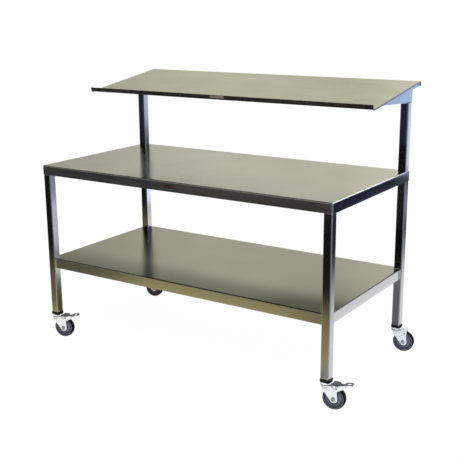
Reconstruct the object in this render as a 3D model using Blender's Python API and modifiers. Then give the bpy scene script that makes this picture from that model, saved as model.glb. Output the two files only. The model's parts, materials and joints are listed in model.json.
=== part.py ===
"""Stainless work table on four casters, with a lower shelf and a tilted over-shelf.

Metres, +Z up. The front of the table faces -Y. The floor is Z = 0, and X = Y = 0 is the middle
of the whole table's footprint, casters and over-shelf included.
"""

import math

import bmesh
import bpy
from mathutils import Matrix, Vector

# Worktop
TABLE_LENGTH = 1.524
TABLE_DEPTH = 0.762
TABLE_HEIGHT = 0.857
APRON = 0.0445
SHEET = 0.0015
BEND = 0.005

# Square tube for the legs and uprights
TUBE = 0.0381
TUBE_WALL = 0.0016
TUBE_CORNER = 0.004
LEG_INSET = 0.002
UPRIGHT_INSET = 0.003
LEG_BOTTOM = 0.1266
UPRIGHT_TOP = 1.163

# Lower shelf
SHELF_TOP = 0.4025
SHELF_RAIL = 0.048
SHELF_INSET = 0.0085

# Over-shelf: a sheet tilted up towards the rear
OVER_LENGTH = 1.512
OVER_DEPTH = 0.508
OVER_TILT = math.radians(8.6)
OVER_FRONT = Vector((0.0, -0.0225, 1.172))
OVER_LIP = 0.020
OVER_FLANGE = 0.022
OVER_HEM = 0.006
BRACKET_PLATE = 0.0025
BRACKET_FRONT = 0.098
BRACKET_REAR_Y = 0.390

# Casters: the wheel trails behind the swivel axis
WHEEL_RADIUS = 0.0485
WHEEL_WIDTH = 0.026
HUB_RADIUS = 0.0315
TRAIL = 0.0355
FORK_PLATE = 0.003
FORK_WIDTH = 0.036
CROWN_TOP = 0.102
CROWN_RADIUS = 0.024
AXLE_RADIUS = 0.005
AXLE_HEAD = 0.004
KINGPIN_RADIUS = 0.0055
BRAKE_PIN_X = 0.0415
BRAKE_PIN_Z = 0.1045
BRAKE_PIN_RADIUS = 0.0025
BRAKE_WIDTH = 0.0416
BRAKE_CHEEK = 0.0022
BRAKE_TOP = 0.1122
BRAKE_REACH = 0.114
BRAKE_TIP = 0.0097
REST_TURN = {
    "front_left": math.radians(16),
    "front_right": math.radians(8),
    "rear_left": math.radians(12),
    "rear_right": math.radians(10),
}

GAP = 0.0003
ROUND_STEPS = 24

# Derived places, measured from the middle of the worktop
LEG_X = TABLE_LENGTH / 2 - LEG_INSET - TUBE / 2
LEG_Y = TABLE_DEPTH / 2 - LEG_INSET - TUBE / 2
UPRIGHT_X = TABLE_LENGTH / 2 - UPRIGHT_INSET - TUBE / 2
UPRIGHT_Y = TABLE_DEPTH / 2 - UPRIGHT_INSET - TUBE / 2
SHELF_X = LEG_X + TUBE / 2 - SHELF_INSET
SHELF_Y = LEG_Y + TUBE / 2 - SHELF_INSET
OVER_REAR_Y = OVER_FRONT.y + OVER_DEPTH * math.cos(OVER_TILT) + OVER_FLANGE * math.sin(OVER_TILT)
BRAKE_FAR_X = BRAKE_REACH * math.cos(REST_TURN["front_right"]) + BRAKE_TIP * math.sin(REST_TURN["front_right"])
FOOTPRINT_MIDDLE = Vector((
    (BRAKE_FAR_X - CROWN_RADIUS) / 2,
    (OVER_REAR_Y - LEG_Y - CROWN_RADIUS) / 2,
    0.0,
))
CORNERS = {
    "front_left": (-1, -1),
    "front_right": (1, -1),
    "rear_left": (-1, 1),
    "rear_right": (1, 1),
}


# Scene

def clear_scene():
    for obj in list(bpy.data.objects):
        bpy.data.objects.remove(obj, do_unlink=True)


def new_collection(name):
    collection = bpy.data.collections.new(name)
    bpy.context.scene.collection.children.link(collection)
    return collection


def material(name, colour, roughness, metallic):
    mat = bpy.data.materials.new(name)
    mat.use_nodes = True
    shader = mat.node_tree.nodes["Principled BSDF"]
    shader.inputs["Base Color"].default_value = (*colour, 1.0)
    shader.inputs["Roughness"].default_value = roughness
    shader.inputs["Metallic"].default_value = metallic
    return mat


def empty(name, parent=None, location=(0, 0, 0), turn=0.0):
    obj = bpy.data.objects.new(name, None)
    PARTS.objects.link(obj)
    obj.parent = parent
    obj.location = location
    obj.rotation_euler.z = turn
    return obj


def add(name, mesh, mat, parent, location=(0, 0, 0), rotation=(0, 0, 0)):
    """Place one sub-part. Copies of a repeated piece share their mesh."""
    obj = bpy.data.objects.new(name, mesh)
    PARTS.objects.link(obj)
    if not mesh.materials:
        mesh.materials.append(mat)
    obj.parent = parent
    obj.location = location
    obj.rotation_euler = rotation
    return obj


# Shapes: each of these returns a mesh

def evaluated_mesh(obj, name):
    """The mesh that an unlinked object makes with its modifiers, welded and facing out."""
    bpy.context.scene.collection.objects.link(obj)
    depsgraph = bpy.context.evaluated_depsgraph_get()
    depsgraph.update()
    mesh = bpy.data.meshes.new_from_object(obj.evaluated_get(depsgraph))
    bpy.data.objects.remove(obj, do_unlink=True)
    mesh.name = name
    bm = bmesh.new()
    bm.from_mesh(mesh)
    bmesh.ops.remove_doubles(bm, verts=bm.verts, dist=1e-6)
    bmesh.ops.recalc_face_normals(bm, faces=bm.faces)
    bm.to_mesh(mesh)
    bm.free()
    mesh.shade_smooth()
    mesh.set_sharp_from_angle(angle=math.radians(35))
    return mesh


def rounded(corners, steps=3):
    """A closed outline through (x, y, radius) corners, each rounded by its radius."""
    outline = []
    for i, (x, y, radius) in enumerate(corners):
        here = Vector((x, y))
        if radius == 0:
            outline.append(here)
            continue
        back = (Vector(corners[i - 1][:2]) - here).normalized()
        ahead = (Vector(corners[(i + 1) % len(corners)][:2]) - here).normalized()
        half = back.angle(ahead) / 2
        centre = here + (back + ahead).normalized() * radius / math.sin(half)
        start = here + back * radius / math.tan(half) - centre
        end = here + ahead * radius / math.tan(half) - centre
        sweep = math.atan2(start.x * end.y - start.y * end.x, start.dot(end))
        for k in range(steps + 1):
            outline.append(centre + Matrix.Rotation(sweep * k / steps, 2) @ start)
    return outline


def rounded_square(side, radius):
    half = side / 2
    return rounded([(-half, -half, radius), (half, -half, radius), (half, half, radius), (-half, half, radius)])


def plate(name, outlines, thickness):
    """A flat piece in XY, its thickness centred on Z = 0. Outlines after the first are holes."""
    curve = bpy.data.curves.new(name, "CURVE")
    curve.dimensions = "2D"
    curve.fill_mode = "BOTH"
    curve.extrude = thickness / 2
    for outline in outlines:
        spline = curve.splines.new("POLY")
        spline.points.add(len(outline) - 1)
        spline.use_cyclic_u = True
        for point, (x, y) in zip(spline.points, outline):
            point.co = (x, y, 0, 1)
    return evaluated_mesh(bpy.data.objects.new(name, curve), name)


def box(name, low, high):
    """A box between two corner points."""
    low, high = Vector(low), Vector(high)
    bm = bmesh.new()
    bmesh.ops.create_cube(bm, size=1)
    bmesh.ops.scale(bm, vec=high - low, verts=bm.verts)
    bmesh.ops.translate(bm, vec=(low + high) / 2, verts=bm.verts)
    mesh = bpy.data.meshes.new(name)
    bm.to_mesh(mesh)
    bm.free()
    return mesh


def cylinder(name, radius, length, steps=ROUND_STEPS):
    """A cylinder about Z, centred on the origin."""
    bm = bmesh.new()
    bmesh.ops.create_cone(bm, cap_ends=True, segments=steps, radius1=radius, radius2=radius, depth=length)
    mesh = bpy.data.meshes.new(name)
    bm.to_mesh(mesh)
    bm.free()
    return mesh


def turned(name, profile, closed=False, steps=ROUND_STEPS):
    """A piece turned about Z from (radius, z) points that run down its outer side."""
    bm = bmesh.new()
    verts = [bm.verts.new((radius, 0, z)) for radius, z in profile]
    for first, second in zip(verts, verts[1:]):
        bm.edges.new((first, second))
    if closed:
        bm.edges.new((verts[-1], verts[0]))
    mesh = bpy.data.meshes.new(name)
    bm.to_mesh(mesh)
    bm.free()
    obj = bpy.data.objects.new(name, mesh)
    screw = obj.modifiers.new("turn", "SCREW")
    screw.steps = screw.render_steps = steps
    screw.use_merge_vertices = True
    screw.merge_threshold = 0.00001
    return evaluated_mesh(obj, name)


def sheet_from(name, bm, bend, thickness):
    """Bend an open surface's edges and give it thickness on its inner side."""
    mesh = bpy.data.meshes.new(name)
    bm.to_mesh(mesh)
    bm.free()
    obj = bpy.data.objects.new(name, mesh)
    bevel = obj.modifiers.new("bend", "BEVEL")
    bevel.width = bend
    bevel.segments = 3
    solidify = obj.modifiers.new("sheet", "SOLIDIFY")
    solidify.thickness = thickness
    solidify.offset = -1
    solidify.use_even_offset = True
    return evaluated_mesh(obj, name)


def pan(name, length, depth, height):
    """A sheet folded down on four sides, with its flat face at Z = 0."""
    bm = bmesh.new()
    bmesh.ops.create_cube(bm, size=1)
    bmesh.ops.scale(bm, vec=(length, depth, height), verts=bm.verts)
    bmesh.ops.translate(bm, vec=(0, 0, -height / 2), verts=bm.verts)
    bottom = [face for face in bm.faces if face.normal.z < -0.5]
    bmesh.ops.delete(bm, geom=bottom, context="FACES_ONLY")
    return sheet_from(name, bm, BEND, SHEET)


def folded_strip(name, path, width, bend, thickness):
    """A strip folded along an (x, z) path, its width centred on Y = 0.

    The path is the outer side, and the thickness is to the right of its direction.
    """
    bm = bmesh.new()
    verts = [bm.verts.new((x, width / 2, z)) for x, z in path]
    edges = [bm.edges.new(pair) for pair in zip(verts, verts[1:])]
    swept = bmesh.ops.extrude_edge_only(bm, edges=edges)["geom"]
    new_verts = [item for item in swept if isinstance(item, bmesh.types.BMVert)]
    bmesh.ops.translate(bm, vec=(0, -width, 0), verts=new_verts)
    bm.normal_update()
    along = Vector((path[1][0] - path[0][0], 0, path[1][1] - path[0][1]))
    left = Vector((-along.z, 0, along.x))
    if verts[0].link_faces[0].normal.dot(left) < 0:
        bmesh.ops.reverse_faces(bm, faces=bm.faces)
    return sheet_from(name, bm, bend, thickness)


def moved(mesh, location=(0, 0, 0), rotation=None):
    """Move a mesh's own points, turning first."""
    if rotation:
        angle, axis = rotation
        mesh.transform(Matrix.Rotation(angle, 4, axis))
    mesh.transform(Matrix.Translation(location))
    return mesh


def combined(name, base, joins=(), cuts=()):
    """Union the joins with the base, then take the cuts away."""
    obj = bpy.data.objects.new(name, base)
    tools = []
    for operation, meshes in (("UNION", joins), ("DIFFERENCE", cuts)):
        for mesh in meshes:
            tool = bpy.data.objects.new("tool", mesh)
            bpy.context.scene.collection.objects.link(tool)
            tools.append(tool)
            modifier = obj.modifiers.new(operation.lower(), "BOOLEAN")
            modifier.operation = operation
            modifier.solver = "EXACT"
            modifier.object = tool
    mesh = evaluated_mesh(obj, name)
    for tool in tools:
        bpy.data.objects.remove(tool, do_unlink=True)
    return mesh


def standing(name, outline, thickness, y, holes=()):
    """A plate standing in XZ, centred on the given Y, from (x, z) outlines."""
    mesh = plate(name, [outline, *holes], thickness)
    return moved(mesh, (0, y, 0), (math.radians(90), "X"))


def circle(x, y, radius, steps=16):
    angles = [2 * math.pi * k / steps for k in range(steps)]
    return [Vector((x + radius * math.cos(a), y + radius * math.sin(a))) for a in angles]


# Frame

def hat_section(name, length, flange, height, width, thickness=0.0012):
    """A hat-shaped stiffener along X, with its flanges' upper faces at Z = 0."""
    half = width / 2
    path = [(-half - flange, 0), (-half, 0), (-half, -height), (half, -height), (half, 0), (half + flange, 0)]
    mesh = folded_strip(name, path, length, 0.002, thickness)
    return moved(mesh, rotation=(math.radians(90), "Z"))


def build_worktop():
    """A pan with a square hole at each rear corner, for an upright to stand through."""
    hole = rounded_square(TUBE + 2 * GAP, TUBE_CORNER + GAP)
    holes = [moved(plate("hole", [hole], APRON / 2), (sx * UPRIGHT_X, UPRIGHT_Y, 0)) for sx in (-1, 1)]
    worktop = combined("worktop", pan("pan", TABLE_LENGTH, TABLE_DEPTH, APRON), cuts=holes)
    add("worktop", worktop, STAINLESS, ROOT, (0, 0, TABLE_HEIGHT))
    hat = hat_section("worktop_stiffener", TABLE_LENGTH - 0.20, 0.020, 0.025, 0.050)
    under = TABLE_HEIGHT - SHEET - GAP
    for side, y in (("front", -0.16), ("rear", 0.16)):
        add(f"worktop_stiffener_{side}", hat, STAINLESS, ROOT, (0, y, under))


def build_legs():
    """Each leg's top is welded to a pad under the worktop, clear of the worktop's bends."""
    pad_side, pad_thickness = 0.060, 0.003
    pad = plate("leg_pad", [rounded_square(pad_side, 0.006)], pad_thickness)
    pad_x = TABLE_LENGTH / 2 - BEND - 0.001 - pad_side / 2
    pad_y = TABLE_DEPTH / 2 - BEND - 0.001 - pad_side / 2
    pad_top = TABLE_HEIGHT - SHEET - GAP
    leg_top = pad_top - pad_thickness - GAP
    leg = tube("leg", leg_top - LEG_BOTTOM)
    for corner, (sx, sy) in CORNERS.items():
        middle = (leg_top + LEG_BOTTOM) / 2
        add(f"leg_{corner}", leg, STAINLESS_TUBE, ROOT, (sx * LEG_X, sy * LEG_Y, middle))
        place = (sx * pad_x, sy * pad_y, pad_top - pad_thickness / 2)
        add(f"leg_pad_{corner}", pad, STAINLESS, ROOT, place)


def tube(name, length):
    outer = rounded_square(TUBE, TUBE_CORNER)
    inner = rounded_square(TUBE - 2 * TUBE_WALL, TUBE_CORNER - TUBE_WALL)
    return plate(name, [outer, inner], length)


def build_lower_shelf():
    """A pan whose corners are notched around the legs."""
    notch = TUBE / 2 + GAP
    reach = notch + SHELF_INSET
    cuts = []
    for sx, sy in CORNERS.values():
        xs = sorted((sx * (LEG_X - notch), sx * (LEG_X + reach)))
        ys = sorted((sy * (LEG_Y - notch), sy * (LEG_Y + reach)))
        cuts.append(box("notch", (xs[0], ys[0], -2 * SHELF_RAIL), (xs[1], ys[1], SHELF_RAIL)))
    shelf = combined("lower_shelf", pan("pan", 2 * SHELF_X, 2 * SHELF_Y, SHELF_RAIL), cuts=cuts)
    add("lower_shelf", shelf, STAINLESS, ROOT, (0, 0, SHELF_TOP))
    hat = hat_section("lower_shelf_stiffener", 2 * SHELF_X - 0.12, 0.020, 0.025, 0.050)
    add("lower_shelf_stiffener", hat, STAINLESS, ROOT, (0, 0, SHELF_TOP - SHEET - GAP))


def build_uprights():
    """The uprights stand on the rear legs' pads, through the worktop's holes."""
    foot = TABLE_HEIGHT - SHEET
    upright = tube("upright", UPRIGHT_TOP - foot)
    middle = (UPRIGHT_TOP + foot) / 2
    for side, sx in (("left", -1), ("right", 1)):
        add(f"upright_{side}", upright, STAINLESS_TUBE, ROOT, (sx * UPRIGHT_X, UPRIGHT_Y, middle))


def on_slope(along, above=0.0):
    """The (y, z) of a point on the over-shelf: distance up the slope, and height square to it."""
    y = OVER_FRONT.y + along * math.cos(OVER_TILT) - above * math.sin(OVER_TILT)
    z = OVER_FRONT.z + along * math.sin(OVER_TILT) + above * math.cos(OVER_TILT)
    return y, z


def build_over_shelf():
    """A sheet with its lip turned up, its rear turned down, and a small hem down each end."""
    path = [(0, OVER_LIP), (0, 0), (OVER_DEPTH, 0), (OVER_DEPTH, -OVER_FLANGE)]
    sheet = folded_strip("sheet", [(-x, z) for x, z in path], OVER_LENGTH, 0.003, -SHEET)
    hems = []
    for sx in (-1, 1):
        xs = sorted((sx * OVER_LENGTH / 2, sx * (OVER_LENGTH / 2 - SHEET)))
        hems.append(box("hem", (-OVER_DEPTH + 0.004, xs[0], -OVER_HEM), (-0.004, xs[1], -SHEET / 2)))
    mesh = combined("over_shelf", sheet, joins=hems)
    moved(mesh, rotation=(math.radians(-90), "Z"))
    add("over_shelf", mesh, STAINLESS, ROOT, OVER_FRONT, (OVER_TILT, 0, 0))
    hat = hat_section("over_shelf_stiffener", OVER_LENGTH - 0.11, 0.015, 0.014, 0.035)
    y, z = on_slope(OVER_DEPTH / 2, -SHEET - GAP)
    add("over_shelf_stiffener", hat, STAINLESS, ROOT, (0, y, z), (OVER_TILT, 0, 0))


def bracket_mesh():
    """The right bracket: a wedge plate with flanges turned in under the sheet, over the tube, and
    across the rear. X = 0 is its outer face."""
    under = -SHEET - GAP
    low = UPRIGHT_TOP + GAP
    arm = on_slope(OVER_DEPTH - 0.004, -0.0195)
    outline = rounded([
        (*on_slope(BRACKET_FRONT, under), 0),
        (*on_slope(BRACKET_FRONT, -0.008), 0),
        (UPRIGHT_Y - TUBE / 2, low, 0),
        (BRACKET_REAR_Y, low, 0.004),
        (BRACKET_REAR_Y, arm[1] - 0.011, 0.010),
        (*arm, 0.003),
        (*on_slope(OVER_DEPTH - 0.004, under), 0),
    ])
    half = BRACKET_PLATE / 2
    wedge = plate("wedge", [outline], BRACKET_PLATE)
    wedge.transform(Matrix.Rotation(math.radians(90), 4, "Z") @ Matrix.Rotation(math.radians(90), 4, "X"))
    moved(wedge, (-half, 0, 0))
    top = box("top", (-0.022, 0, -BRACKET_PLATE), (-half, OVER_DEPTH - BRACKET_FRONT - 0.030, 0))
    y, z = on_slope(BRACKET_FRONT + 0.012, under - 0.0002)
    moved(top, (0, y, z), (OVER_TILT, "X"))
    rear = BRACKET_REAR_Y - BRACKET_PLATE
    cap = box("cap", (-0.036, UPRIGHT_Y - TUBE / 2 + 0.001, low + 0.0002), (-half, rear + half, low + 0.0027))
    back = box("back", (-0.035, rear, low + 0.0007), (-half, BRACKET_REAR_Y - 0.0005, arm[1] - 0.012))
    return combined("over_shelf_bracket", wedge, joins=(top, cap, back))


def build_brackets():
    outer = OVER_LENGTH / 2 - SHEET - 0.0004
    right = bracket_mesh()
    left = right.copy()
    left.transform(Matrix.Scale(-1, 4, (1, 0, 0)))
    left.flip_normals()
    add("over_shelf_bracket_right", right, STAINLESS, ROOT, (outer, 0, 0))
    add("over_shelf_bracket_left", left, STAINLESS, ROOT, (-outer, 0, 0))


# Casters. Their shapes are modelled about the swivel axis, with Z = 0 at the floor.

def socket_mesh():
    """The plastic socket: a plug inside the leg's tube and a collar under it."""
    collar_low, collar_high = 0.115, LEG_BOTTOM - GAP
    plug_high = collar_high + 0.034
    collar = plate("collar", [rounded_square(0.044, 0.008)], collar_high - collar_low)
    moved(collar, (0, 0, (collar_low + collar_high) / 2))
    plug_side = TUBE - 2 * TUBE_WALL - 2 * GAP
    plug = plate("plug", [rounded_square(plug_side, 0.0035)], plug_high - collar_high + 0.002)
    moved(plug, (0, 0, (plug_high + collar_high - 0.002) / 2))
    bore = moved(cylinder("bore", KINGPIN_RADIUS + GAP, 0.2), (0, 0, 0.14))
    return combined("socket", collar, joins=[plug], cuts=[bore])


def cup_mesh():
    """The bearing's cover: a shallow bell around the kingpin."""
    wall, top, bottom = 0.002, 0.1147, 0.106
    bore = KINGPIN_RADIUS + GAP
    return turned("bearing_cup", [
        (bore, top), (0.016, top), (CROWN_RADIUS, top - 0.004), (CROWN_RADIUS, bottom),
        (CROWN_RADIUS - wall, bottom), (CROWN_RADIUS - wall, top - 0.005), (0.015, top - wall), (bore, top - wall),
    ], closed=True)


def seal_mesh():
    return turned("swivel_seal", [
        (0.0155, 0.1057), (0.0225, 0.1057), (0.0225, CROWN_TOP + GAP), (0.0155, CROWN_TOP + GAP),
    ], closed=True)


def kingpin_mesh():
    """A riveted stem: its head is under the fork's crown and its shank is in the socket."""
    head_top = CROWN_TOP - FORK_PLATE - GAP
    return turned("kingpin", [
        (0, 0.150), (KINGPIN_RADIUS - 0.001, 0.150), (KINGPIN_RADIUS, 0.149), (KINGPIN_RADIUS, head_top),
        (0.008, head_top), (0.008, head_top - 0.002), (0.006, head_top - 0.004), (0, head_top - 0.004),
    ], steps=16)


def fork_mesh(tail, holes):
    """A round crown over two side plates that slant back to the axle. The tail is their rear top outline."""
    crown_mid = CROWN_TOP - FORK_PLATE / 2
    outline = rounded([
        (-0.0155, crown_mid, 0), (-0.0155, 0.090, 0.004), (0.030, 0.0325, 0.009), (0.0535, 0.0325, 0.012),
        *tail, (0.027, crown_mid, 0),
    ])
    holes = [circle(TRAIL, WHEEL_RADIUS, AXLE_RADIUS + GAP), *holes]
    side_y = (FORK_WIDTH - FORK_PLATE) / 2
    sides = [standing("side", outline, FORK_PLATE, y, holes) for y in (-side_y, side_y)]
    crown = plate("crown", [circle(0, 0, CROWN_RADIUS, ROUND_STEPS), circle(0, 0, KINGPIN_RADIUS + GAP)], FORK_PLATE)
    moved(crown, (0, 0, crown_mid))
    return combined("fork", crown, joins=sides)


def plain_fork_mesh():
    """The fork without a brake: raised ears with a roof between them, a hole in the ears and one below."""
    tail = [(0.0495, 0.080, 0.006), (0.0520, 0.104, 0.004), (0.0410, 0.1185, 0.004), (0.0335, 0.1185, 0.004)]
    fork = fork_mesh(tail, [circle(0.0375, 0.1115, 0.0032, 12), circle(0.0405, 0.0885, 0.004, 12)])
    path = [(0.0215, 0.1015), (0.0285, 0.1035), (0.0350, 0.1175), (0.0402, 0.1175), (0.0508, 0.1035), (0.0502, 0.0985)]
    roof = folded_strip("roof", path, FORK_WIDTH - FORK_PLATE, 0.002, 0.0022)
    return combined("fork", fork, joins=[roof])


def brake_fork_mesh():
    """The fork with a brake: its side plates run on as wings over the wheel."""
    tail = [
        (0.0500, 0.083, 0.005), (0.0785, 0.0975, 0.004), (0.0850, 0.1050, 0.003), (0.0825, 0.1122, 0.003),
        (0.0560, 0.1058, 0.006), (0.0440, 0.1092, 0.003), (0.0345, 0.1092, 0.004),
    ]
    pin_hole = circle(BRAKE_PIN_X, BRAKE_PIN_Z, BRAKE_PIN_RADIUS + GAP, 12)
    return fork_mesh(tail, [pin_hole, circle(0.0485, 0.0935, 0.0022, 12)])


def tyre_mesh():
    """Turned about Z, to be laid on its side."""
    half = WHEEL_WIDTH / 2
    bore = HUB_RADIUS + GAP
    side = [(bore, half - 0.002), (0.0335, half), (0.0425, half), (0.0465, half - 0.0025),
            (WHEEL_RADIUS, half - 0.006)]
    return turned("tyre", side + [(radius, -z) for radius, z in reversed(side)], closed=True, steps=28)


def hub_mesh():
    boss, web, rim = 0.0145, 0.008, 0.0105
    bore = AXLE_RADIUS + GAP
    side = [(bore, boss), (0.011, boss), (0.0125, web), (0.0275, web), (HUB_RADIUS, rim)]
    return turned("hub", side + [(radius, -z) for radius, z in reversed(side)], closed=True)


def headed_pin(name, width, radius, head_radius, head_length, steps):
    """A pin through parts of the given total width, with a head at each end."""
    inner = width / 2 + GAP
    half = [(0, inner + head_length), (head_radius, inner + head_length), (head_radius, inner), (radius, inner)]
    return turned(name, half + [(r, -z) for r, z in reversed(half)], steps=steps)


def brake_lever_mesh():
    """A pedal strip with cheeks outside the fork, a narrow neck, and an open loop at its end."""
    path = [(0.0285, BRAKE_TOP), (0.0560, BRAKE_TOP), (0.0700, 0.1098), (0.0830, 0.1162), (0.1085, 0.1205),
            (BRAKE_REACH, 0.1165)]
    strip = folded_strip("strip", path, BRAKE_WIDTH, 0.002, BRAKE_CHEEK)
    cheek = rounded([(0.0290, BRAKE_TOP - 0.001, 0), (0.0290, 0.1020, 0.003), (0.0375, 0.0985, 0.004),
                     (0.0455, 0.0985, 0.004), (0.0535, 0.1045, 0.003), (0.0535, BRAKE_TOP - 0.001, 0)])
    hole = circle(BRAKE_PIN_X, BRAKE_PIN_Z, BRAKE_PIN_RADIUS + GAP, 12)
    cheek_y = (BRAKE_WIDTH - BRAKE_CHEEK) / 2
    cheeks = [standing("cheek", cheek, BRAKE_CHEEK, y, [hole]) for y in (-cheek_y, cheek_y)]
    side = [(0.0275, 0.022, 0), (0.0545, 0.022, 0.002), (0.0600, 0.010, 0.005), (0.0770, 0.008, 0.006),
            (0.0870, 0.015, 0.005), (BRAKE_REACH + 0.001, 0.014, 0.008)]
    outline = rounded(side + [(x, -y, radius) for x, y, radius in reversed(side)])
    around = [Vector(corner) for corner in ((0, -0.04), (0.14, -0.04), (0.14, 0.04), (0, 0.04))]
    trim = moved(plate("trim", [around, outline], 0.05), (0, 0, 0.11))
    loop = plate("loop", [rounded([(0.0895, -0.008, 0.006), (0.1075, -0.008, 0.006), (0.1075, 0.008, 0.006),
                                   (0.0895, 0.008, 0.006)])], 0.05)
    return combined("brake_lever", strip, joins=cheeks, cuts=[trim, moved(loop, (0, 0, 0.12))])


def brake_shoe_mesh():
    """A bent leaf under the lever that presses on the tyre."""
    path = [(0.0690, 0.1056), (0.0560, 0.1079), (0.0500, 0.1010), (0.0580, 0.0972)]
    return folded_strip("brake_shoe", path, 0.022, 0.0015, 0.0015)


def build_casters():
    lying = (math.radians(90), 0, 0)
    socket, cup, seal, kingpin = socket_mesh(), cup_mesh(), seal_mesh(), kingpin_mesh()
    forks = {"front": brake_fork_mesh(), "rear": plain_fork_mesh()}
    tyre, hub = tyre_mesh(), hub_mesh()
    axle = headed_pin("axle", FORK_WIDTH, AXLE_RADIUS, 0.008, AXLE_HEAD, 16)
    lever, shoe = brake_lever_mesh(), brake_shoe_mesh()
    brake_pin = headed_pin("brake_pin", BRAKE_WIDTH, BRAKE_PIN_RADIUS, 0.0045, 0.002, 12)
    for corner, (sx, sy) in CORNERS.items():
        fixed = empty(f"caster_{corner}", ROOT, (sx * LEG_X, sy * LEG_Y, 0))
        add(f"socket_{corner}", socket, BLACK_PLASTIC, fixed)
        add(f"kingpin_{corner}", kingpin, ZINC, fixed)
        add(f"bearing_cup_{corner}", cup, ZINC, fixed)
        add(f"swivel_seal_{corner}", seal, BLACK_PLASTIC, fixed)
        swivel = empty(f"swivel_{corner}", fixed, turn=REST_TURN[corner])
        add(f"fork_{corner}", forks[corner.split("_")[0]], ZINC, swivel)
        middle = (TRAIL, 0, WHEEL_RADIUS)
        add(f"axle_{corner}", axle, ZINC, swivel, middle, lying)
        wheel = empty(f"wheel_{corner}", swivel, middle)
        add(f"hub_{corner}", hub, GREY_PLASTIC, wheel, rotation=lying)
        add(f"tyre_{corner}", tyre, RUBBER, wheel, rotation=lying)
        if corner.startswith("front"):
            build_brake(corner, swivel, lever, shoe, brake_pin)


def build_brake(corner, swivel, lever, shoe, pin):
    """The lever's and the shoe's parent sits on the pin that they turn about."""
    on_pin = (BRAKE_PIN_X, 0, BRAKE_PIN_Z)
    pivot = empty(f"brake_{corner}", swivel, on_pin)
    back = (-BRAKE_PIN_X, 0, -BRAKE_PIN_Z)
    add(f"brake_lever_{corner}", lever, DARK_STEEL, pivot, back)
    add(f"brake_shoe_{corner}", shoe, ZINC, pivot, back)
    add(f"brake_pin_{corner}", pin, ZINC, swivel, on_pin, (math.radians(90), 0, 0))


clear_scene()
PARTS = new_collection("work_table")
STAINLESS = material("stainless_sheet", (0.62, 0.61, 0.57), 0.28, 1.0)
STAINLESS_TUBE = material("stainless_tube", (0.60, 0.60, 0.60), 0.22, 1.0)
ZINC = material("zinc_plate", (0.80, 0.81, 0.82), 0.35, 1.0)
DARK_STEEL = material("dark_steel", (0.20, 0.20, 0.20), 0.45, 1.0)
BLACK_PLASTIC = material("black_plastic", (0.015, 0.015, 0.016), 0.45, 0.0)
GREY_PLASTIC = material("grey_plastic", (0.22, 0.22, 0.26), 0.50, 0.0)
RUBBER = material("black_rubber", (0.02, 0.02, 0.022), 0.75, 0.0)
ROOT = empty("table", location=-FOOTPRINT_MIDDLE)

build_worktop()
build_legs()
build_lower_shelf()
build_uprights()
build_over_shelf()
build_brackets()
build_casters()
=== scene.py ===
"""Looks for the stainless work table: materials, welds, fasteners, wheels, studio and camera."""

import functools
import json
import math
import random

import bmesh
import bpy
from mathutils import Matrix, Vector


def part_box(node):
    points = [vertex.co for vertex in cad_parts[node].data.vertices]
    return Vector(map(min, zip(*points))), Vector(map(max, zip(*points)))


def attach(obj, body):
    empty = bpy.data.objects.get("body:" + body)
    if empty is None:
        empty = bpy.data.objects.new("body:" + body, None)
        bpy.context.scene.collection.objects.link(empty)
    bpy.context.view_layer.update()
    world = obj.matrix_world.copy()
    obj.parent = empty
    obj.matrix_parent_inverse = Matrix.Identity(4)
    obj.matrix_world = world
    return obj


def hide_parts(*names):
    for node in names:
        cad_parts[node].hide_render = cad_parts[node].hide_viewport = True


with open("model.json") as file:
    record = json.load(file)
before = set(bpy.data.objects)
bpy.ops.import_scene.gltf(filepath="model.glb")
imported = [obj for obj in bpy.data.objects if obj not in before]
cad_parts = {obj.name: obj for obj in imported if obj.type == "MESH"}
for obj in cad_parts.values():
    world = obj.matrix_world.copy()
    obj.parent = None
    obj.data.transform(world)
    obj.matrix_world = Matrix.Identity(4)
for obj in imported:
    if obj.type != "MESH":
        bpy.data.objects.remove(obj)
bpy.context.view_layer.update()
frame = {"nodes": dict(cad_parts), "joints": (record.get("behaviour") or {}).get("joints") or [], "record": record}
NODES = frame["nodes"]
JOINTS = {joint["name"]: joint for joint in frame["joints"]}
CORNERS = ("front_left", "front_right", "rear_left", "rear_right")
MIDDLE = Vector(next(m["pos_m"] for m in frame["record"]["mounts"] if m["name"] == "worktop_surface"))


# Node trees

def node(tree, kind, inputs=None, **settings):
    """Add a shader node. Each input is a value, or another node's output socket."""
    new = tree.nodes.new("ShaderNode" + kind)
    for key, value in settings.items():
        setattr(new, key, value)
    for key, value in (inputs or {}).items():
        if isinstance(value, bpy.types.NodeSocket):
            tree.links.new(value, new.inputs[key])
        else:
            new.inputs[key].default_value = value
    return new


def calc(tree, operation, *values, clamp=False):
    return node(tree, "Math", dict(enumerate(values)), operation=operation, use_clamp=clamp).outputs[0]


def product(tree, *values):
    return functools.reduce(lambda total, value: calc(tree, "MULTIPLY", total, value), values)


def largest(tree, *values):
    return functools.reduce(lambda most, value: calc(tree, "MAXIMUM", most, value), values)


def smooth_step(tree, value, low, high, out_low=0.0, out_high=1.0):
    """Out low where the value is at or before low, out high at or past high. Low may be the larger."""
    inputs = {"Value": value, "From Min": low, "From Max": high, "To Min": out_low, "To Max": out_high}
    return node(tree, "MapRange", inputs, interpolation_type="SMOOTHSTEP").outputs[0]


def blend_colour(tree, factor, first, second, mode="MIX"):
    """First and second are (r, g, b) colours or sockets."""
    mix = node(tree, "Mix", data_type="RGBA", blend_type=mode)
    for key, value in ((0, factor), (6, first), (7, second)):
        if isinstance(value, bpy.types.NodeSocket):
            tree.links.new(value, mix.inputs[key])
        else:
            mix.inputs[key].default_value = value if key == 0 else (*value, 1.0)
    return mix.outputs[2]


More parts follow.
